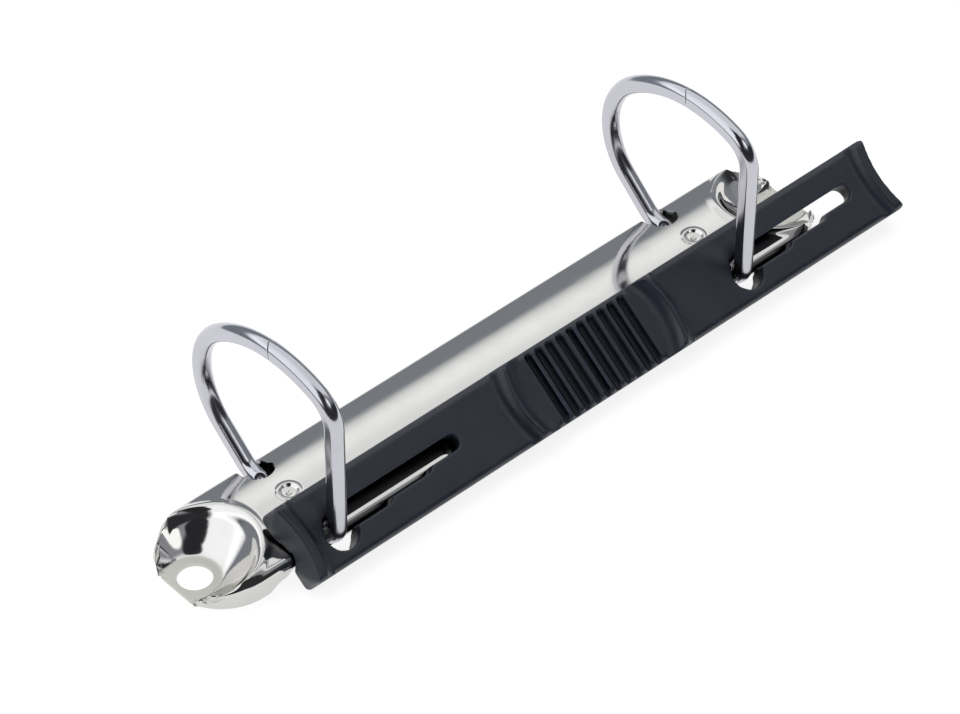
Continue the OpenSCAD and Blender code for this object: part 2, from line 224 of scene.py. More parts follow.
def ring_path(straight):
    """Centre line of one ring half from the split to its foot, through tangent arcs and straights: arch,
    shoulder, leg and foot bend on the straight side; arch, side, run and foot sweep on the curved side.
    Arcs that touch have their middles on one line with the point where they touch."""
    ay, az, ar = ARCH
    split_a = math.degrees(math.acos((SPLIT_Y - ay) / ar))
    if straight:
        # middle of the shoulder, and the angle at which the arch meets it
        sy = -LEG_Y + SHOULDER_R
        sz = az + math.sqrt((ar - SHOULDER_R) ** 2 - (sy - ay) ** 2)
        sa = math.degrees(math.atan2(sz - az, sy - ay))
        parts = [arc(ay, az, ar, split_a, sa), arc(sy, sz, SHOULDER_R, sa, 180),
                 line((-LEG_Y, sz), (-LEG_Y, FOOT_Z + FOOT_BEND)),
                 arc(-LEG_Y + FOOT_BEND, FOOT_Z + FOOT_BEND, FOOT_BEND, 180, 270),
                 line((-LEG_Y + FOOT_BEND, FOOT_Z), (-FOOT_Y, FOOT_Z))]
    else:
        # middle of the side, start (ry, rz) and end (ly, lz) of the run, and middle wy of the sweep
        turn = math.radians(SIDE_A)
        sy, sz = ay + (ar - SIDE_R) * math.cos(turn), az + (ar - SIDE_R) * math.sin(turn)
        ra = math.radians(RUN_A)
        ry, rz = sy + SIDE_R * math.sin(ra), sz - SIDE_R * math.cos(ra)
        lz = FOOT_Z + FOOT_SWEEP * (1 - math.cos(ra))
        ly = ry - (rz - lz) / math.tan(ra)
        wy = ly - FOOT_SWEEP * math.sin(ra)
        parts = [arc(ay, az, ar, split_a, SIDE_A), arc(sy, sz, SIDE_R, SIDE_A, RUN_A - 90),
                 line((ry, rz), (ly, lz)), arc(wy, FOOT_Z + FOOT_SWEEP, FOOT_SWEEP, RUN_A - 90, -90),
                 line((wy, FOOT_Z), (FOOT_Y, FOOT_Z))]
    return np.concatenate([parts[0]] + [p[1:] for p in parts[1:]])


def wire_section(n, corner):
    """Angles and radii of the rolled wire: a circle of WIRE_R cut by flats at +-WIRE_HALF, joined by a
    power mean r = (circle^-corner + flat^-corner)^(-1/corner), so their edge has a small true radius.
    The angles are n even ones and seven close to each edge, the same above and below."""
    edge = math.degrees(math.acos(WIRE_HALF / WIRE_R))
    even = np.linspace(0, 360, n, endpoint=False)
    close = np.array([-3, -1.5, -0.6, 0, 0.6, 1.5, 3])
    extra = np.concatenate([c + close for c in (edge, 180 - edge, 180 + edge, 360 - edge)])
    a = np.concatenate([even, extra, (360 - extra) % 360]) % 360
    a = np.radians(np.unique(np.round(a, 4)))
    flat = WIRE_HALF / np.maximum(np.abs(np.cos(a)), 1e-3)
    r = (WIRE_R ** -corner + flat ** -corner) ** (-1 / corner)
    return a, r


def cut_face(a):
    """Faces across the wire's cut end: strips between the points that mirror each other, as indices into
    the section's angles a. The first and last strips share a point and are triangles."""
    top = np.flatnonzero(a < math.pi + 1e-9)
    mirror = np.abs(a[None, :] - ((2 * math.pi - a[top]) % (2 * math.pi))[:, None]).argmin(1)
    strips = np.stack([top[:-1], top[1:], mirror[1:], mirror[:-1]], -1)
    faces = [tuple(dict.fromkeys(strip)) for strip in strips.tolist()]
    return [face for face in faces if len(face) >= 3]


def coined_flat(verts, x0, side, depth):
    """The flat pressed on a foot: what stands over the plane at WIRE_R - depth from the foot's middle is
    moved down to it, and a bell MARK_DEPTH exp(-(d / MARK_R)^2) sinks the mark in the flat's middle."""
    normal = np.array(FLAT_FACING) * (1, side, 1)
    normal /= np.linalg.norm(normal)
    centre = np.array([x0, side * FOOT_Y, FOOT_Z])
    near = np.linalg.norm(verts - centre, axis=1) < FLAT_REACH
    limit = WIRE_R - depth
    h = (verts - centre) @ normal
    over = near & (h > limit)
    verts[over] -= normal * (h[over] - limit)[:, None]
    d = np.linalg.norm(verts - (centre + limit * normal), axis=1)
    return verts - normal * (MARK_DEPTH * np.exp(-(d / MARK_R) ** 2) * near)[:, None]


def ring_half(x0, straight, corner, flat_depth):
    """Sweep of the rolled section along the centre line. At the split the last rings are sheared into
    the V-shaped nose: shift along the wire = +-(nose/2 - 2 nose |x| / width), faded out over NOSE_FADE.
    At the foot the section shrinks over a quarter circle to a pole, and the foot gets its coined flat,
    flat_depth under the wire's own radius."""
    side = -1 if straight else 1
    c = ring_path(straight)
    t = np.gradient(c, axis=0)
    t /= np.linalg.norm(t, axis=1)[:, None]
    n = np.stack([-t[:, 1], t[:, 0]], -1)
    s = np.concatenate([[0], np.cumsum(np.linalg.norm(np.diff(c, axis=0), axis=1))])
    a, r = wire_section(56, corner)
    if straight:
        r = r * STRAIGHT_FULLER
    x, out = r * np.cos(a), r * np.sin(a)

    def rings(i, size, ahead):
        """Sections at the centre points i: c + n out size + t ahead, and x0 + x size across."""
        y, z = (c[i, k:k + 1] + n[i, k:k + 1] * out * size + t[i, k:k + 1] * ahead for k in (0, 1))
        return np.stack([np.broadcast_to(x0 + x * size, y.shape), y, z], -1)

    shift = side * (NOSE / 2 - NOSE * np.abs(x) / WIRE_HALF) + SPLIT_GAP / 2
    fade = np.clip(1 - s / NOSE_FADE, 0, 1)[:, None]
    # softened edge of the cut: three rings, each set in by less and further back along the wire
    inset, back = np.array([[0.06], [0.02], [0.0]]), np.array([[0.0], [0.012], [0.05]])
    cut = rings([0], 1 - inset / r, shift + back)
    length = rings(slice(1, None), 1, fade[1:] * shift)
    f = np.radians(np.linspace(6, 84, 14))[:, None]
    tip = rings([-1], np.cos(f), WIRE_R * np.sin(f))
    rows = np.concatenate([cut, length, tip])
    pole = np.array([[x0, *(c[-1] + t[-1] * WIRE_R)]])
    verts = coined_flat(np.concatenate([rows.reshape(-1, 3), pole]), x0, side, flat_depth)
    cols = len(a)
    last = (len(rows) - 1) * cols
    faces = grid_faces(len(rows), cols, wrap=True)
    faces += [(last + j, last + (j + 1) % cols, len(verts) - 1) for j in range(cols)]
    return verts, faces + cut_face(a)


# ---------- pressed cover ----------

def smooth(t):
    """Smooth step from 0 to 1: 3 t^2 - 2 t^3."""
    return t * t * (3 - 2 * t)


def section_z(rho):
    """Height of the cover's section at a distance rho from its spine: the crown's arc, then the top of the
    rolled edge's circle, which it meets without a step. Beyond FLANK it stays as high as there."""
    rho = np.minimum(rho, FLANK)
    crown = CROWN_C + np.sqrt(CROWN_R ** 2 - rho ** 2)
    roll = ROLL_Z + np.sqrt(np.maximum(ROLL_R ** 2 - (rho - ROLL_Y) ** 2, 0))
    meet = ROLL_Y * CROWN_R / (CROWN_R - ROLL_R)
    return np.where(rho < meet, crown, roll)


def spine_distance(x, y):
    """Distance in plan from the cover's spine, the stretch of the X axis that ends at DOME_X."""
    return np.where(x < DOME_X, np.abs(y), np.hypot(x - DOME_X, y))


def scoop_z(x, y, bow):
    """Height of the pressed hollow: flat on the land, then up a cone whose slope grows as the power bow
    of the way up; beside the tab it rises steeply from the tab's edge."""
    way = np.maximum(0, np.hypot(x - RIVET_X, y) - LAND_R) / (SCOOP_R - LAND_R)
    cone = SHEET + (CROWN_Z - SHEET) * way ** bow
    tab = SHEET + TAB_RISE * np.maximum(0, np.abs(y) - TAB_HALF)
    return np.where(x > RIVET_X, np.minimum(cone, tab), cone)


def on_roll(a):
    """Points on the outside of the rolled edge at angles a: middle + ROLL_R (cos a, sin a), as (rho, z)."""
    return np.stack([ROLL_Y + ROLL_R * np.cos(a), ROLL_Z + ROLL_R * np.sin(a)], -1)


def flank_rows():
    """Rows below the heightfield: eight angles down the outside of the roll, from where it is FLANK from
    the spine, then nine ways along the lower part."""
    start = math.degrees(math.acos((FLANK - ROLL_Y) / ROLL_R))
    ways = np.array([0.1, 0.2, 0.31, 0.41, 0.52, 0.64, 0.76, 0.88, 1.0])
    return np.radians(np.linspace(start, 0, 9)[1:]), ways


def lower_edge(x, way):
    """Lower part of the flank at a place x along the cover, as (rho, z). Between the ends the sheet rolls on
    under itself, by ROLL_TURN degrees. At the ends it runs straight down as a skirt. The skirt's foot falls
    from the roll's underside in a hollow curve of the radius HOLLOW_R that starts at HOLLOW_X."""
    roll = on_roll(np.radians(-ROLL_TURN * way))
    fall = np.clip(x - HOLLOW_X, 0, HOLLOW_R)
    foot = np.maximum(0, ROLL_Z - ROLL_R - HOLLOW_R + np.sqrt(HOLLOW_R ** 2 - fall ** 2))
    side = ROLL_Y + ROLL_R
    skirt = np.stack([side - (side - SKIRT_R) * way * (ROLL_Z - foot) / ROLL_Z,
                      ROLL_Z + (foot - ROLL_Z) * way], -1)
    b = smooth(np.clip((x - BLEND_X) / BLEND_W, 0, 1))[..., None]
    return roll * (1 - b) + skirt * b


def dimple(r):
    """Depth of a stop dimple at a distance r from its middle: the slope given at ten radii, summed inwards.
    It has a slightly raised lip, a steep wall, a shallow floor and a small pit from the tip of the punch."""
    s, step = np.linspace(0, DIMPLE_RADII[-1], 226, retstep=True)
    slope = np.interp(s, DIMPLE_RADII, DIMPLE_SLOPE)
    return np.interp(r, s, np.cumsum(slope[::-1])[::-1] * step, right=0)


def cover_middle():
    """The straight channel between x = -PATCH_X and PATCH_X, as two half grids, and the rows' distances
    from the spine at its end. Rows run from the spine to the notch line, on to the flank and round the
    roll. The notch line is y = NOTCH_Y + half - half cos t across a notch, with x = ring + half sin t, so
    that it follows the notch's round end. The faces outside it there are left out, NOTCH_WAYS rows past
    the roll's middle."""
    outer, inner = RING_X + NOTCH_HALF, RING_X - NOTCH_HALF
    notch = NOTCH_HALF * np.sin(np.linspace(-math.pi / 2, math.pi / 2, 45))
    x = np.concatenate([np.linspace(-PATCH_X, -outer, 4)[:-1], -RING_X + notch,
                        np.linspace(-inner, inner, 61)[1:-1],
                        RING_X + notch, np.linspace(outer, PATCH_X, 4)[1:]])
    inside = np.abs(np.abs(x) - RING_X) <= NOTCH_HALF + 1e-9
    off = np.where(inside, np.abs(x) - RING_X, NOTCH_HALF)
    y_line = (NOTCH_Y + NOTCH_HALF - np.sqrt(np.maximum(0, NOTCH_HALF ** 2 - off ** 2)))[:, None]
    u, v = np.linspace(0, 1, 41), np.linspace(0, 1, 8)[1:]
    top = np.concatenate([y_line * u, y_line + (FLANK - y_line) * v], 1)
    top_z = section_z(top) - dimple(np.hypot(np.abs(x[:, None]) - RING_X, top))
    theta, way = flank_rows()
    tail = np.concatenate([on_roll(theta), lower_edge(np.zeros(len(way)), way)])
    shape = (len(x), len(tail))
    rho = np.concatenate([top, np.broadcast_to(tail[:, 0], shape)], 1)
    z = np.concatenate([top_z, np.broadcast_to(tail[:, 1], shape)], 1)
    cut_from = len(u) - 1
    cut_to = cut_from + len(v) + len(theta) + NOTCH_WAYS
    j = np.arange(rho.shape[1] - 1)
    keep = ~(inside[:-1] & inside[1:])[:, None] | (j < cut_from) | (j >= cut_to)
    q = np.array(grid_faces(*rho.shape))[keep.ravel()]
    # towards the rolled edge the +X end of each notch comes in, by up to NARROW_BY
    close = smooth(np.clip((rho - NARROW_Y) / NARROW_W, 0, 1))
    past = np.clip(np.where(inside, x - np.sign(x) * RING_X, 0) / NOTCH_HALF, 0, 1)[:, None]
    half = np.stack([x[:, None] - NARROW_BY * close * past ** 2, rho, z], -1).reshape(-1, 3)
    verts = np.concatenate([half, half * [1, -1, 1]])
    faces = np.concatenate([q, q[:, ::-1] + len(half)])
    return verts, faces, top[0]


def relaxed(p, weight, rounds):
    """Points of each row pulled towards the middle of their neighbours, by half their weight, rounds times."""
    for _ in range(rounds):
        p[:, 1:-1] += (weight[:, 1:-1] * 0.5)[..., None] * (0.5 * (p[:, :-2] + p[:, 2:]) - p[:, 1:-1])
    return p


def end_rays(ends, bow):
    """Rays in plan from the rivet hole to the points ends: their points, and the weight by which each is
    relaxed. A ray runs over the land and up the scoop, crosses the rim where scoop and section are equally
    high, and goes on to its end. The height is the lower of section_z and scoop_z, with a lip LIP_H high
    that falls off as cos^2 over LIP_W to both sides of the rim, where the rim is over LIP_FROM_Z."""
    d = ends - [RIVET_X, 0]
    reach = np.hypot(d[:, 0], d[:, 1])[:, None]
    dx, dy = d[:, :1] / reach, d[:, 1:] / reach
    # the first of 600 places along the ray at which the scoop is higher than the section
    fine = LAND_R + (reach - LAND_R) * np.linspace(0, 1, 600)
    x, y = RIVET_X + dx * fine, dy * fine
    over = scoop_z(x, y, bow) > section_z(spine_distance(x, y))
    first = np.take_along_axis(fine, over.argmax(1)[:, None], 1)
    rim = np.where(over.any(1)[:, None], first, reach)
    # places over the land, up the scoop and on beyond the rim, closer together at the rim
    land = np.minimum(RIVET_R + (LAND_R - RIVET_R) * np.linspace(0, 1, 6), reach)
    foot = land[:, -1:]
    rim = np.maximum(rim, foot)
    up, on = np.linspace(0, 1, 25)[1:], np.linspace(0, 1, 17)[1:]
    scoop = foot + (rim - foot) * (1 - (1 - up) ** 1.4)
    beyond = rim + (reach - rim) * on ** 1.5
    r = np.concatenate([land, scoop, beyond], 1)
    x, y = RIVET_X + dx * r, dy * r
    z = np.minimum(section_z(spine_distance(x, y)), scoop_z(x, y, bow))
    rim_col = land.shape[1] + len(up) - 1
    rim_z = z[:, rim_col:rim_col + 1]
    off_land = r - LAND_R
    lip = LIP_H * np.cos(math.pi / 2 * np.minimum(np.abs(r - rim) / LIP_W, 1)) ** 2
    z = z + lip * np.clip(rim_z - LIP_FROM_Z, 0, 1) * np.clip(off_land / 2, 0, 1)
    near = np.exp(-((r - rim) / 0.6) ** 2) * np.clip(off_land / 0.8, 0, 1)
    return np.stack([x, y, z], -1), near


def end_plan():
    """Where the rays round the flank end: the spine's place and the direction psi from it that each belongs
    to, and the point itself, FLANK from the spine, but drawn back along the ray to the tab's cut end."""
    xs = np.linspace(PATCH_X, DOME_X, 20)[:-1]
    turn = np.radians(np.linspace(90, -90, 111))
    spine = np.concatenate([xs, np.full(len(turn), DOME_X), xs[::-1]])
    psi = np.concatenate([np.full(len(xs), math.pi / 2), turn, np.full(len(xs), -math.pi / 2)])
    from_rivet = np.stack([spine + FLANK * np.cos(psi) - RIVET_X, FLANK * np.sin(psi)], -1)
    tab_end = END_X - RIVET_X
    drawn_back = tab_end / np.maximum(from_rivet[:, :1], tab_end)
    return spine[:, None], psi[:, None], [RIVET_X, 0] + from_rivet * drawn_back


def cover_end(middle_rho, rim, bow):
    """One rounded end, as rays from the rivet hole to the channel's grid, and rays to the flank that go on
    down it. Relaxing each ray near the rim rounds it off to about rim millimetres."""
    # the rounding spreads with the root of the rounds: 90 of them for a rim 1 mm wide
    rounds = int(90 * rim * rim)
    y_line = np.concatenate([-middle_rho[::-1], middle_rho[1:]])
    joint = np.stack([np.full(len(y_line), PATCH_X), y_line], -1)
    inner = relaxed(*end_rays(joint, bow), rounds)

    spine, psi, edge = end_plan()
    outer, near = end_rays(edge, bow)
    theta, way = flank_rows()
    side = np.broadcast_to(on_roll(theta), (len(spine), len(theta), 2))
    about_skirt_r = 9.0
    skirt_x = spine + about_skirt_r * np.cos(psi)
    tail = np.concatenate([side, lower_edge(skirt_x, way)], 1)
    limit = (END_X - DOME_X) / np.maximum(np.cos(psi), 1e-3)
    rho = np.minimum(tail[..., 0], limit)
    x, y = spine + rho * np.cos(psi), rho * np.sin(psi)
    z = np.minimum(tail[..., 1], scoop_z(x, y, bow))
    # the tab ends in a bare cut edge: no flank there
    bare = (tail[..., 0] >= limit) & (np.abs(y) < TAB_HALF + 0.12)
    z = np.where(bare, SHEET, z)
    on_tab = edge[:, :1] > END_X - 1e-6
    x, y = np.where(on_tab, edge[:, :1], x), np.where(on_tab, edge[:, 1:], y)
    outer = np.concatenate([outer, np.stack([x, y, z], -1)], 1)
    # the flank is relaxed where neither the scoop nor the tab has cut it
    cut = np.exp(-((z - tail[..., 1]) / 0.6) ** 2) * np.exp(-np.maximum(0, scoop_z(x, y, bow) - z) ** 2)
    outer = relaxed(outer, np.concatenate([near, cut * near[:, -1:]], 1), rounds)

    a, b = inner.shape[:2], outer.shape[:2]
    verts = np.concatenate([inner.reshape(-1, 3), outer.reshape(-1, 3)])
    return verts, np.array(grid_faces(*a) + grid_faces(*b, base=a[0] * a[1]))


def cover_shell(rim, bow):
    """Middle and both ends of the pressed cover in one mesh, given its sheet's thickness inwards."""
    verts, faces, rho = cover_middle()
    end, end_faces = cover_end(rho, rim, bow)
    all_verts = np.concatenate([verts, end, end * [-1, 1, 1]])
    all_faces = np.concatenate([faces, end_faces + len(verts), end_faces[:, ::-1] + len(verts) + len(end)])
    me = mesh_of("cover_shell", all_verts, all_faces.tolist(), merge=0.02)
    normals = np.zeros(len(me.polygons) * 3)
    me.polygons.foreach_get("normal", normals)
    if normals[2::3].sum() < 0:
        me.flip_normals()
    # where scoop and flank run back to back beside the tab there is no room for two sheets: down to a
    # twentieth of the thickness at the tab's corner, full again 1.6 mm from it, and full on the tab itself
    p = np.zeros(len(me.vertices) * 3)
    me.vertices.foreach_get("co", p)
    x, y, z = np.abs(p.reshape(-1, 3)).T / MM
    from_corner = np.hypot(x - END_X, y - TAB_HALF - 0.3)
    room = np.where(z > SHEET + 0.01, np.clip(from_corner / 1.6, 0.05, 1), 1)
    return finished(me, [("SOLIDIFY", {"thickness": SHEET * MM, "offset": -1.0, "vertex_group": "room"})], room)


# ---------- moulded bar ----------

def bar_skin(voxel, rounds):
    """The bar's solid with every edge rounded as a mould leaves it. A copy of the solid, merged within 2
    micrometres, is turned square to the axes, remeshed in cells of voxel millimetres, smoothed rounds
    times, and turned back."""
    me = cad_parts["hold_down_bar"].data.copy()
    bm = bmesh.new()
    bm.from_mesh(me)
    bmesh.ops.remove_doubles(bm, verts=bm.verts, dist=0.002 * MM)
    turn = Matrix.Rotation(math.radians(-BAR_LEAN), 4, "X") @ Matrix.Translation([-c * MM for c in BAR_ORIGIN])
    bm.transform(turn)
    bm.to_mesh(me)
    bm.free()
    out = finished(me, [("REMESH", {"mode": "VOXEL", "voxel_size": voxel * MM, "adaptivity": 0.0}),
                        ("SMOOTH", {"factor": 0.6, "iterations": rounds})])
    out.transform(turn.inverted())
    return out


# ---------- finishes ----------

def nickel_plate(name, colour, rough, grain, waves, along, land=False):
    """Bright nickel plate: warm grey metal with sharp reflections and a faint haze, about 6 mm across, where
    it was handled. grain is the bump of the drawing and rolling lines of the steel below, which are 0.1 to
    0.3 mm apart and drawn at 0.35 mm so that they show; waves is the slow unevenness of pressed sheet,
    about 4 mm across. land makes the flat tab round the rivet hole duller and darker, as the press left it."""
    lines = {"X": (0.06, 2.8, 2.8), "Z": (2.8, 0.9, 0.06)}[along]
    mat, tree, out = new_material(name)
    co = add(tree, "ShaderNodeTexCoord")
    haze = add(tree, "ShaderNodeTexNoise", {"Scale": 0.16 / MM, "Detail": 4.0, "Roughness": 0.55},
               {"Vector": (co, "Object")})
    rr = add(tree, "ShaderNodeMapRange",
             {"From Min": 0.3, "From Max": 0.75, "To Min": rough * 0.6, "To Max": rough * 1.7},
             {"Value": (haze, "Fac")})
    tone = add(tree, "ShaderNodeMix", {"data_type": "RGBA", MIX_A: tuple(colour), MIX_B: scaled(colour, 0.9)},
               {0: (haze, "Fac")})
    if land:
        sep = add(tree, "ShaderNodeSeparateXYZ", links={"Vector": (co, "Object")})
        across = add(tree, "ShaderNodeMath", {"operation": "ABSOLUTE"}, {0: (sep, "Y")})
        inside = add(tree, "ShaderNodeMath", {"operation": "LESS_THAN", 1: (TAB_HALF + 0.15) * MM},
                     {0: (across, "Value")})
        low = add(tree, "ShaderNodeMath", {"operation": "LESS_THAN", 1: (SHEET + 0.07) * MM}, {0: (sep, "Z")})
        flat = add(tree, "ShaderNodeMath", {"operation": "MULTIPLY"}, {0: (inside, "Value"), 1: (low, "Value")})
        rr = add(tree, "ShaderNodeMath", {"operation": "MULTIPLY_ADD", 1: 0.28},
                 {0: (flat, "Value"), 2: (rr, "Result")})
        tone = add(tree, "ShaderNodeMix", {"data_type": "RGBA", MIX_B: linear("#c3c3bb")},
                   {0: (flat, "Value"), MIX_A: (tone, MIX_OUT)})
    turned = add(tree, "ShaderNodeMapping", {"Scale": tuple(n / MM for n in lines)}, {"Vector": (co, "Object")})
    drawn = add(tree, "ShaderNodeTexNoise", {"Scale": 1.0, "Detail": 2.0}, {"Vector": (turned, "Vector")})
    slow = add(tree, "ShaderNodeTexNoise", {"Scale": 0.25 / MM, "Detail": 1.0}, {"Vector": (co, "Object")})
    fine = add(tree, "ShaderNodeBump", {"Strength": grain, "Distance": 0.01 * MM}, {"Height": (drawn, "Fac")})
    bump = add(tree, "ShaderNodeBump", {"Strength": waves, "Distance": 0.06 * MM},
               {"Height": (slow, "Fac"), "Normal": (fine, "Normal")})
    pb = add(tree, "ShaderNodeBsdfPrincipled", {"Metallic": 1.0},
             {"Base Color": (tone, MIX_OUT), "Roughness": (rr, 0), "Normal": (bump, "Normal")})
    tree.links.new(pb.outputs["BSDF"], out.inputs["Surface"])
    return mat


def moulded_plastic(name, colour, rough):
    """Injection-moulded blue-black polystyrene: low sheen from a spark-eroded grain of about 0.15 mm, drawn
    at 0.3 mm so that it shows, cloudy handling marks about 4 mm across, and painted highlights that make edges
    and crests paler.
    Hollows deeper than about 2 mm are darker and duller, because little light gets into them."""
    mat, tree, out = new_material(name)
    co = add(tree, "ShaderNodeTexCoord")
    cloud = add(tree, "ShaderNodeTexNoise", {"Scale": 0.26 / MM, "Detail": 6.0, "Roughness": 0.65},
                {"Vector": (co, "Object")})
    grain = add(tree, "ShaderNodeTexNoise", {"Scale": 3.3 / MM, "Detail": 2.0}, {"Vector": (co, "Object")})
    # painted highlight: where the inside AO finds a convex edge or crest, the base colour is made up to nine
    # times paler, in patches that follow the cloud
    solid = add(tree, "ShaderNodeAmbientOcclusion", {"inside": True, "samples": 8, "Distance": 0.5 * MM})
    edge_highlight = add(tree, "ShaderNodeMapRange",
               {"From Min": 0.85, "From Max": 0.45, "To Min": 0.0, "To Max": 1.0}, {"Value": (solid, "AO")})
    open_air = add(tree, "ShaderNodeAmbientOcclusion", {"samples": 8, "Distance": 2.2 * MM})
    deep = add(tree, "ShaderNodeMapRange",
               {"From Min": 0.5, "From Max": 0.93, "To Min": 0.1, "To Max": 1.0}, {"Value": (open_air, "AO")})
    painted_highlight = add(tree, "ShaderNodeMath", {"operation": "MULTIPLY"}, {0: (edge_highlight, "Result"), 1: (cloud, "Fac")})
    tone = add(tree, "ShaderNodeMix",
               {"data_type": "RGBA", MIX_A: scaled(colour, 0.4), MIX_B: scaled(colour, 1.75)},
               {0: (cloud, "Fac")})
    edge = add(tree, "ShaderNodeMix", {"data_type": "RGBA", MIX_B: scaled(colour, 9.0)},
               {0: (painted_highlight, "Value"), MIX_A: (tone, MIX_OUT)})
    base = add(tree, "ShaderNodeVectorMath", {"operation": "SCALE"},
               {0: (edge, MIX_OUT), "Scale": (deep, "Result")})
    rr = add(tree, "ShaderNodeMapRange",
             {"From Min": 0.3, "From Max": 0.75, "To Min": rough - 0.06, "To Max": rough + 0.1},
             {"Value": (cloud, "Fac")})
    bump = add(tree, "ShaderNodeBump", {"Strength": 0.35, "Distance": 0.04 * MM}, {"Height": (grain, "Fac")})
    gloss = add(tree, "ShaderNodeMath", {"operation": "MULTIPLY", 1: 0.5}, {0: (deep, "Result")})
    pb = add(tree, "ShaderNodeBsdfPrincipled", {"IOR": 1.59},
             {"Base Color": (base, "Vector"), "Roughness": (rr, "Result"),
              "Specular IOR Level": (gloss, "Value"), "Normal": (bump, "Normal")})
    tree.links.new(pb.outputs["BSDF"], out.inputs["Surface"])
    return mat


# ---------- stage ----------

def make_camera():
    """A long lens at the viewing angle, given by its right, up and back directions and its place."""
    right, up, back = (0.74045, -0.67211, 0.00168), (0.46446, 0.51350, 0.72153), (-0.48581, -0.53348, 0.69238)
    place_mm = (-296.3, -321.5, 425.8)
    data = bpy.data.cameras.new("camera")
    data.lens, data.sensor_width = 155.64, 36.0
    data.clip_start, data.clip_end = 0.05, 20.0
    o = bpy.data.objects.new("camera", data)
    m = Matrix((right, up, back)).transposed().to_4x4()
    m.translation = Vector(place_mm) * MM
    o.matrix_world = m
    bpy.context.collection.objects.link(o)
    bpy.context.scene.camera = o


def make_studio(settings):
    """Studio round the part, by direction from it. Behind and above is a big diffuser, brighter and a
    little bluer to the left. Its lower edge is soft, about 25 degrees up and higher to the right, and it is
    brightest a little above that edge. Below it is a mid-grey wall, and in front a dark room. Overhead
    and high on the right is a weaker light. Before these are the dark shape of the camera and its boom,
    and a small soft box in front."""
    k = settings.light
    world = bpy.data.worlds.new("studio")
    bpy.context.scene.world = world
    world.use_nodes = True
    tree = world.node_tree
    tree.nodes.clear()
    out = add(tree, "ShaderNodeOutputWorld")
    co = add(tree, "ShaderNodeTexCoord")
    sep = add(tree, "ShaderNodeSeparateXYZ", links={"Vector": (co, "Generated")})
    source = {axis: (sep, axis) for axis in "XYZ"}
    # measures that slant across X
    for name, axis, slope in (("tilt", "Z", -0.15), ("skew", "Y", 0.4), ("lean", "Z", 0.8)):
        source[name] = (add(tree, "ShaderNodeMath", {"operation": "MULTIPLY_ADD", 1: slope},
                            {0: (sep, "X"), 2: (sep, axis)}), "Value")
    # nearness to a direction, as the cosine of the angle between
    for name, toward in (("camera", (-0.49, -0.45, 0.747)), ("boom", (-0.20, -0.30, 0.933)),
                         ("box", (0.117, -0.673, 0.729))):
        source[name] = (add(tree, "ShaderNodeVectorMath", {"operation": "DOT_PRODUCT", 1: toward},
                            {0: (co, "Generated")}), "Value")
    source["stand"] = (add(tree, "ShaderNodeMath", {"operation": "MAXIMUM"},
                           {0: source["camera"], 1: source["boom"]}), "Value")
    # smooth steps from 0 to 1 of a measure, each between two values of it
    fade = {}
    for name, measure, start, end in (
            ("above_edge", "tilt", 0.378, 0.463), ("brighter", "tilt", 0.44, 0.535),
            ("dimmer", "tilt", 0.565, 0.66), ("behind", "Y", -0.42, -0.26), ("right", "X", -0.5, 0.25),
            ("wall", "skew", -0.15, 0.35), ("overhead", "Z", 0.52, 0.66), ("high_right", "lean", 0.95, 1.06),
            ("stand", "stand", 0.94, 0.966), ("box", "box", 0.972, 0.986)):
        step = {"interpolation_type": "SMOOTHSTEP", "From Min": start, "From Max": end}
        fade[name] = (add(tree, "ShaderNodeMapRange", step, {"Value": source[measure]}), "Result")

    diffuser = add(tree, "ShaderNodeMix", {"data_type": "RGBA", MIX_A: scaled((1.66, 1.67, 1.72), k),
                                           MIX_B: scaled((1.235, 1.25, 1.26), k)}, {0: fade["right"]})
    level = add(tree, "ShaderNodeMath", {"operation": "MULTIPLY_ADD", 1: 0.22, 2: 0.78}, {0: fade["brighter"]})
    level = add(tree, "ShaderNodeMath", {"operation": "MULTIPLY_ADD", 1: -0.15},
                {0: fade["dimmer"], 2: (level, "Value")})
    diffuser = add(tree, "ShaderNodeVectorMath", {"operation": "SCALE"},
                   {0: (diffuser, MIX_OUT), "Scale": (level, "Value")})
    room = add(tree, "ShaderNodeMix", {"data_type": "RGBA", MIX_A: (0.035, 0.036, 0.04, 1),
                                       MIX_B: (0.27, 0.29, 0.325, 1)}, {0: fade["wall"]})
    weaker = add(tree, "ShaderNodeMath", {"operation": "MAXIMUM"}, {0: fade["overhead"], 1: fade["high_right"]})
    room = add(tree, "ShaderNodeMix", {"data_type": "RGBA", MIX_B: scaled((0.34, 0.35, 0.38), k)},
               {0: (weaker, "Value"), MIX_A: (room, MIX_OUT)})
    where = add(tree, "ShaderNodeMath", {"operation": "MULTIPLY"}, {0: fade["above_edge"], 1: fade["behind"]})
    lit = add(tree, "ShaderNodeMix", {"data_type": "RGBA"},
              {0: (where, "Value"), MIX_A: (room, MIX_OUT), MIX_B: (diffuser, "Vector")})
    lit = add(tree, "ShaderNodeMix", {"data_type": "RGBA", MIX_B: scaled((1.5, 1.5, 1.5), k)},
              {0: fade["box"], MIX_A: (lit, MIX_OUT)})
    lit = add(tree, "ShaderNodeMix", {"data_type": "RGBA", MIX_B: (0.03, 0.03, 0.035, 1)},
              {0: fade["stand"], MIX_A: (lit, MIX_OUT)})
    bg = add(tree, "ShaderNodeBackground", {"Strength": 1.0}, {"Color": (lit, MIX_OUT)})
    tree.links.new(bg.outputs["Background"], out.inputs["Surface"])


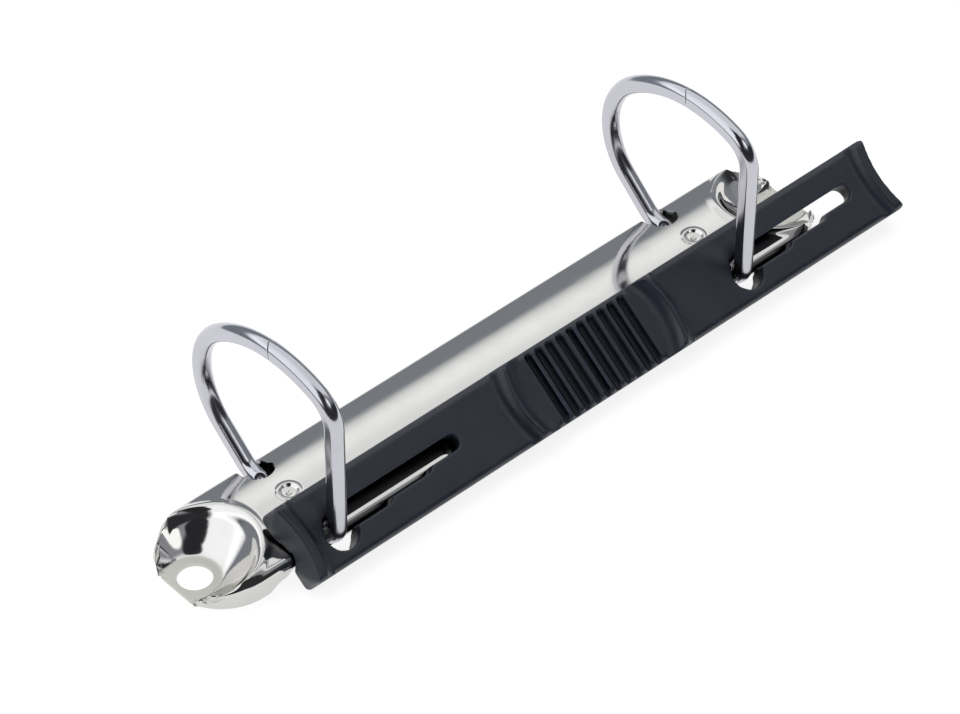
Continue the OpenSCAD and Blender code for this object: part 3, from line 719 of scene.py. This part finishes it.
def make_floor(settings):
    """Plain white paper under the part: matt, lit to near white."""
    half, z = 3.0, -0.2 * MM
    corners = [(-half, -half, z), (half, -half, z), (half, half, z), (-half, half, z)]
    me = bpy.data.meshes.new("floor")
    me.from_pydata(corners, [], [(0, 1, 2, 3)])
    floor = bpy.data.objects.new("floor", me)
    bpy.context.collection.objects.link(floor)
    mat, tree, out = new_material("matt white paper")
    pb = add(tree, "ShaderNodeBsdfPrincipled",
             {"Base Color": linear("#9a9a9a"), "Roughness": 0.9, "Emission Color": (1, 1, 1, 1),
              "Emission Strength": settings.floor_glow})
    tree.links.new(pb.outputs["BSDF"], out.inputs["Surface"])
    floor.data.materials.append(mat)


# ---------- settings ----------

class BinderRingSettings(bpy.types.PropertyGroup):
    """Wire of the two rings."""
    colour: FloatVectorProperty(
        name="Plate colour", description="Colour of the nickel plate on the wire", subtype="COLOR",
        size=4, min=0, max=1, default=linear("#c2c2c9"))
    roughness: FloatProperty(
        name="Roughness", description="Middle of the plate's roughness", subtype="FACTOR",
        min=0, max=1, default=0.15)
    corner: FloatProperty(
        name="Edge sharpness", description="Power that joins the wire's flats and crowns: higher is sharper",
        min=8, max=80, default=34)
    flat_depth: FloatProperty(
        name="Coined flat", description="How far the foot's flat is pressed below the wire's radius",
        unit="LENGTH", precision=5, min=0, max=0.0008, default=0.35 * MM)


class BinderCoverSettings(bpy.types.PropertyGroup):
    """Pressed cover."""
    colour: FloatVectorProperty(
        name="Plate colour", description="Colour of the nickel plate on the cover", subtype="COLOR",
        size=4, min=0, max=1, default=linear("#d4d3d0"))
    roughness: FloatProperty(
        name="Roughness", description="Middle of the plate's roughness", subtype="FACTOR",
        min=0, max=1, default=0.07)
    rim: FloatProperty(
        name="Rim width", description="Width of the rounded rim between scoop and crown",
        unit="LENGTH", precision=5, min=0.0001, max=0.003, default=0.6 * MM)
    bow: FloatProperty(
        name="Scoop bow", description="Power of the scoop's rise: 1 is a plain cone",
        min=1, max=2, default=1.3)


class BinderBladeSettings(bpy.types.PropertyGroup):
    """Hinge blades under the cover."""
    colour: FloatVectorProperty(
        name="Zinc colour", description="Colour of the zinc plated strip", subtype="COLOR",
        size=4, min=0, max=1, default=linear("#b9bbbe"))
    roughness: FloatProperty(
        name="Roughness", description="Middle of the strip's roughness", subtype="FACTOR",
        min=0, max=1, default=0.28)


class BinderBarSettings(bpy.types.PropertyGroup):
    """Moulded hold-down bar."""
    colour: FloatVectorProperty(
        name="Plastic colour", description="Colour of the moulded plastic", subtype="COLOR",
        size=4, min=0, max=1, default=linear("#141a29"))
    roughness: FloatProperty(
        name="Roughness", description="Middle of the plastic's roughness", subtype="FACTOR",
        min=0, max=1, default=0.38)
    cell: FloatProperty(
        name="Skin cell", description="Cell of the rounded skin",
        unit="LENGTH", precision=5, min=0.0001, max=0.001, default=0.235 * MM)


class BinderStageSettings(bpy.types.PropertyGroup):
    """Floor and light."""
    light: FloatProperty(
        name="Lights", description="Brightness of the diffuser, the soft box and the light overhead",
        min=0, max=5, default=1.0)
    floor_glow: FloatProperty(
        name="Floor glow", description="Light added to the white floor", min=0, max=2, default=0.84)


# ---------- operators ----------

class BINDER_OT_stage(bpy.types.Operator):
    """Camera, white floor and studio light"""
    bl_idname = "binder.stage"
    bl_label = "Stage"

    def execute(self, context):
        settings = context.scene.binder_stage
        make_camera()
        make_floor(settings)
        make_studio(settings)
        context.scene.view_settings.view_transform = "Standard"
        return {"FINISHED"}


class BINDER_OT_cover(bpy.types.Operator):
    """Pressed nickel-plated cover with scoops, notches and dimples"""
    bl_idname = "binder.cover"
    bl_label = "Cover"

    def execute(self, context):
        settings = context.scene.binder_cover
        mat = nickel_plate("nickel plate on pressed steel", settings.colour, settings.roughness,
                           grain=0.25, waves=0.12, along="X", land=True)
        place("pressed_cover", cover_shell(settings.rim / MM, settings.bow), mat, "cover",
              "cover", sharp=50)
        return {"FINISHED"}


class BINDER_OT_blades(bpy.types.Operator):
    """Zinc-plated hinge blades"""
    bl_idname = "binder.blades"
    bl_label = "Hinge blades"

    def execute(self, context):
        settings = context.scene.binder_blades
        mat = nickel_plate("zinc plate on steel strip", settings.colour, settings.roughness,
                           grain=0.4, waves=0.2, along="X")
        dress("curved_side_blade", mat)
        dress("straight_side_blade", mat)
        return {"FINISHED"}


class BINDER_OT_rings(bpy.types.Operator):
    """Four ring halves of rolled wire"""
    bl_idname = "binder.rings"
    bl_label = "Rings"

    def execute(self, context):
        settings = context.scene.binder_rings
        mat = nickel_plate("nickel plate on rolled wire", settings.colour, settings.roughness,
                           grain=0.35, waves=0.1, along="Z")
        for side, x in (("left", -RING_X), ("right", RING_X)):
            for kind, straight in (("curved", False), ("straight", True)):
                wire = ring_half(x, straight, settings.corner, settings.flat_depth / MM)
                me = mesh_of(f"{kind}_wire_{side}", *wire)
                place(me.name, me, mat, f"{kind}_side", f"{kind}_ring_half_{side}", sharp=60)
        return {"FINISHED"}


class BINDER_OT_bar(bpy.types.Operator):
    """Moulded hold-down bar with keyholes, dish and grip grooves"""
    bl_idname = "binder.bar"
    bl_label = "Hold-down bar"

    def execute(self, context):
        settings = context.scene.binder_bar
        mat = moulded_plastic("moulded blue-black polystyrene", settings.colour, settings.roughness)
        place("moulded_bar", bar_skin(settings.cell / MM, rounds=4), mat, "hold_down_bar",
              "hold_down_bar")
        return {"FINISHED"}


class BINDER_PT_parts(bpy.types.Panel):
    """Pieces of the binder mechanism and their settings"""
    bl_idname = "BINDER_PT_parts"
    bl_label = "Ring binder"
    bl_space_type = "VIEW_3D"
    bl_region_type = "UI"
    bl_category = "Ring binder"

    def draw(self, context):
        for group, operator, names in PARTS:
            box = self.layout.box()
            box.operator(operator)
            for name in names:
                box.prop(getattr(context.scene, group), name)


PARTS = (
    ("binder_stage", "binder.stage", ("light", "floor_glow")),
    ("binder_cover", "binder.cover", ("colour", "roughness", "rim", "bow")),
    ("binder_blades", "binder.blades", ("colour", "roughness")),
    ("binder_rings", "binder.rings", ("colour", "roughness", "corner", "flat_depth")),
    ("binder_bar", "binder.bar", ("colour", "roughness", "cell")),
)
SETTINGS = {"binder_stage": BinderStageSettings, "binder_cover": BinderCoverSettings,
            "binder_blades": BinderBladeSettings, "binder_rings": BinderRingSettings,
            "binder_bar": BinderBarSettings}
CLASSES = (*SETTINGS.values(), BINDER_OT_stage, BINDER_OT_cover, BINDER_OT_blades, BINDER_OT_rings,
           BINDER_OT_bar, BINDER_PT_parts)


def register():
    for c in CLASSES:
        bpy.utils.register_class(c)
    for name, c in SETTINGS.items():
        setattr(bpy.types.Scene, name, PointerProperty(type=c))


def unregister():
    for name in SETTINGS:
        delattr(bpy.types.Scene, name)
    for c in reversed(CLASSES):
        bpy.utils.unregister_class(c)


def main():
    """Registers the classes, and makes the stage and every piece."""
    register()
    bpy.ops.binder.stage()
    bpy.ops.binder.cover()
    bpy.ops.binder.blades()
    bpy.ops.binder.rings()
    bpy.ops.binder.bar()


if __name__ == "__main__":
    main()
